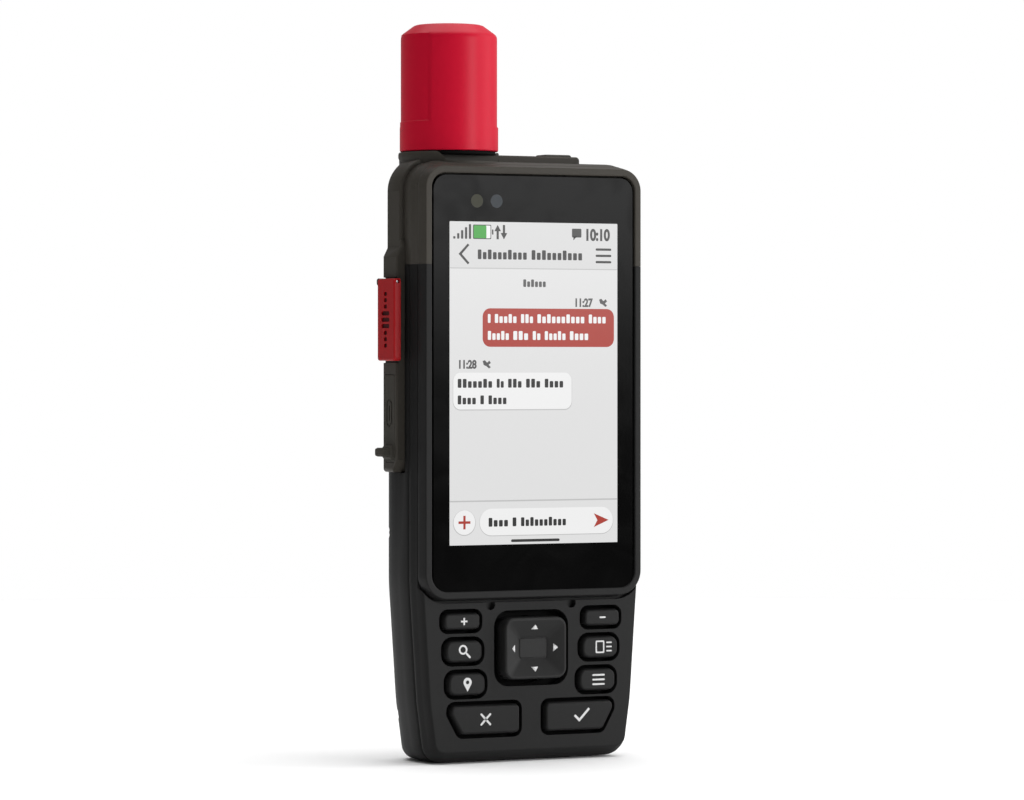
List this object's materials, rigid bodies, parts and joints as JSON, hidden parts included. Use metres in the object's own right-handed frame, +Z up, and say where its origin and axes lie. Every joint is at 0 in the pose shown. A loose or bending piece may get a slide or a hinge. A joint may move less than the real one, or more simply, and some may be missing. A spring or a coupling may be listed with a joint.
{
  "type": "emergency position beacon",
  "caption": "Hand-held satellite emergency beacon: tall case with a colour screen over a keypad, stubby red antenna, covered distress key and USB cap on its left side.",
  "frame": {"origin": "middle of the flat base, under the middle of the case", "axes": "+X right seen from the front, +Y from front to back, +Z up"},
  "size_m": [0.0658, 0.0331, 0.1748],
  "materials": {
    "charcoal_case": "fine moulded texture",
    "warm_grey_case": "fine moulded texture",
    "keycap": "fine matt",
    "warm_grey_key": "fine matt",
    "warm_grey_rubber": "matt",
    "seal": "matt",
    "red_radome": "satin",
    "red_cover": "satin",
    "cover_glass": "polished",
    "lens": "clear",
    "display": "lit",
    "circuit_board": "solder resist",
    "battery": "foil pouch",
    "steel": "plain",
    "copper": "bright",
    "antenna_former": "matt"
  },
  "bodies": {
    "case": {"front_housing": "charcoal_case", "rear_shell": "charcoal_case", "top_housing": "warm_grey_case", "side_rail": "warm_grey_case", "cover_glass": "cover_glass", "display_gasket": "seal", "display_module": "display", "keypad_mat": "seal", "key_board": "circuit_board", "microphone_left": "steel", "microphone_right": "steel", "main_board": "circuit_board", "battery_pack": "battery", "speaker": "steel", "main_gasket": "seal", "power_switch": "steel", "flashlight_lens": "lens", "antenna_cap": "red_radome", "antenna_base_ring": "seal", "antenna_core": "antenna_former", "antenna_helix": "copper", "sos_hinge_pin": "steel", "sos_switch": "steel", "usb_receptacle": "steel", "spine_mount": "charcoal_case", "spine_screw_upper": "steel", "spine_screw_lower": "steel", "case_screw_1": "steel", "case_screw_2": "steel", "case_screw_3": "steel", "case_screw_4": "steel", "case_screw_5": "steel", "case_screw_6": "steel", "lanyard_bar": "steel"},
    "key_plus": {"key_plus": "keycap"},
    "key_minus": {"key_minus": "keycap"},
    "key_find": {"key_find": "keycap"},
    "key_page": {"key_page": "keycap"},
    "key_mark": {"key_mark": "keycap"},
    "key_menu": {"key_menu": "keycap"},
    "key_quit": {"key_quit": "keycap"},
    "key_enter": {"key_enter": "keycap"},
    "dpad_carrier": {"dpad_ring": "seal"},
    "dpad": {"dpad_cap": "keycap"},
    "power_key": {"power_key": "warm_grey_key"},
    "sos_cover": {"sos_cover": "red_cover"},
    "sos_button": {"sos_button": "red_cover"},
    "usb_cap": {"usb_cap": "warm_grey_rubber"}
  },
  "joints": [
    {"name": "key_plus_press", "type": "slide", "parent": "case", "child": "key_plus", "axis": [0, 1, 0], "range_m": [0, 0.0005], "stiffness_N_per_m": 2000},
    {"name": "key_minus_press", "type": "slide", "parent": "case", "child": "key_minus", "axis": [0, 1, 0], "range_m": [0, 0.0005], "stiffness_N_per_m": 2000},
    {"name": "key_find_press", "type": "slide", "parent": "case", "child": "key_find", "axis": [0, 1, 0], "range_m": [0, 0.0005], "stiffness_N_per_m": 2000},
    {"name": "key_page_press", "type": "slide", "parent": "case", "child": "key_page", "axis": [0, 1, 0], "range_m": [0, 0.0005], "stiffness_N_per_m": 2000},
    {"name": "key_mark_press", "type": "slide", "parent": "case", "child": "key_mark", "axis": [0, 1, 0], "range_m": [0, 0.0005], "stiffness_N_per_m": 2000},
    {"name": "key_menu_press", "type": "slide", "parent": "case", "child": "key_menu", "axis": [0, 1, 0], "range_m": [0, 0.0005], "stiffness_N_per_m": 2000},
    {"name": "key_quit_press", "type": "slide", "parent": "case", "child": "key_quit", "axis": [0, 1, 0], "range_m": [0, 0.0005], "stiffness_N_per_m": 2000},
    {"name": "key_enter_press", "type": "slide", "parent": "case", "child": "key_enter", "axis": [0, 1, 0], "range_m": [0, 0.0005], "stiffness_N_per_m": 2000},
    {"name": "dpad_tilt_up_down", "type": "hinge", "parent": "case", "child": "dpad_carrier", "pos_m": [0, -0.0096, 0.0261], "axis": [1, 0, 0], "range_deg": [-3.5, 3.5], "stiffness_Nm_per_rad": 0.15},
    {"name": "dpad_tilt_left_right", "type": "hinge", "parent": "dpad_carrier", "child": "dpad", "pos_m": [0, -0.0096, 0.0261], "axis": [0, 0, 1], "range_deg": [-3.5, 3.5], "stiffness_Nm_per_rad": 0.15},
    {"name": "power_key_press", "type": "slide", "parent": "case", "child": "power_key", "axis": [0, 0, -1], "range_m": [0, 0.0006], "stiffness_N_per_m": 2000},
    {"name": "sos_cover_hinge", "type": "hinge", "parent": "case", "child": "sos_cover", "pos_m": [-0.03295, -0.00255, 0.11345], "axis": [0, 1, 0], "range_deg": [0, 105]},
    {"name": "sos_button_press", "type": "slide", "parent": "case", "child": "sos_button", "axis": [1, 0, 0], "range_m": [0, 0.0008], "stiffness_N_per_m": 2000},
    {"name": "usb_cap_hinge", "type": "hinge", "parent": "case", "child": "usb_cap", "pos_m": [-0.0327, -0.0009, 0.0915], "axis": [0, 1, 0], "range_deg": [0, 110]}
  ]
}
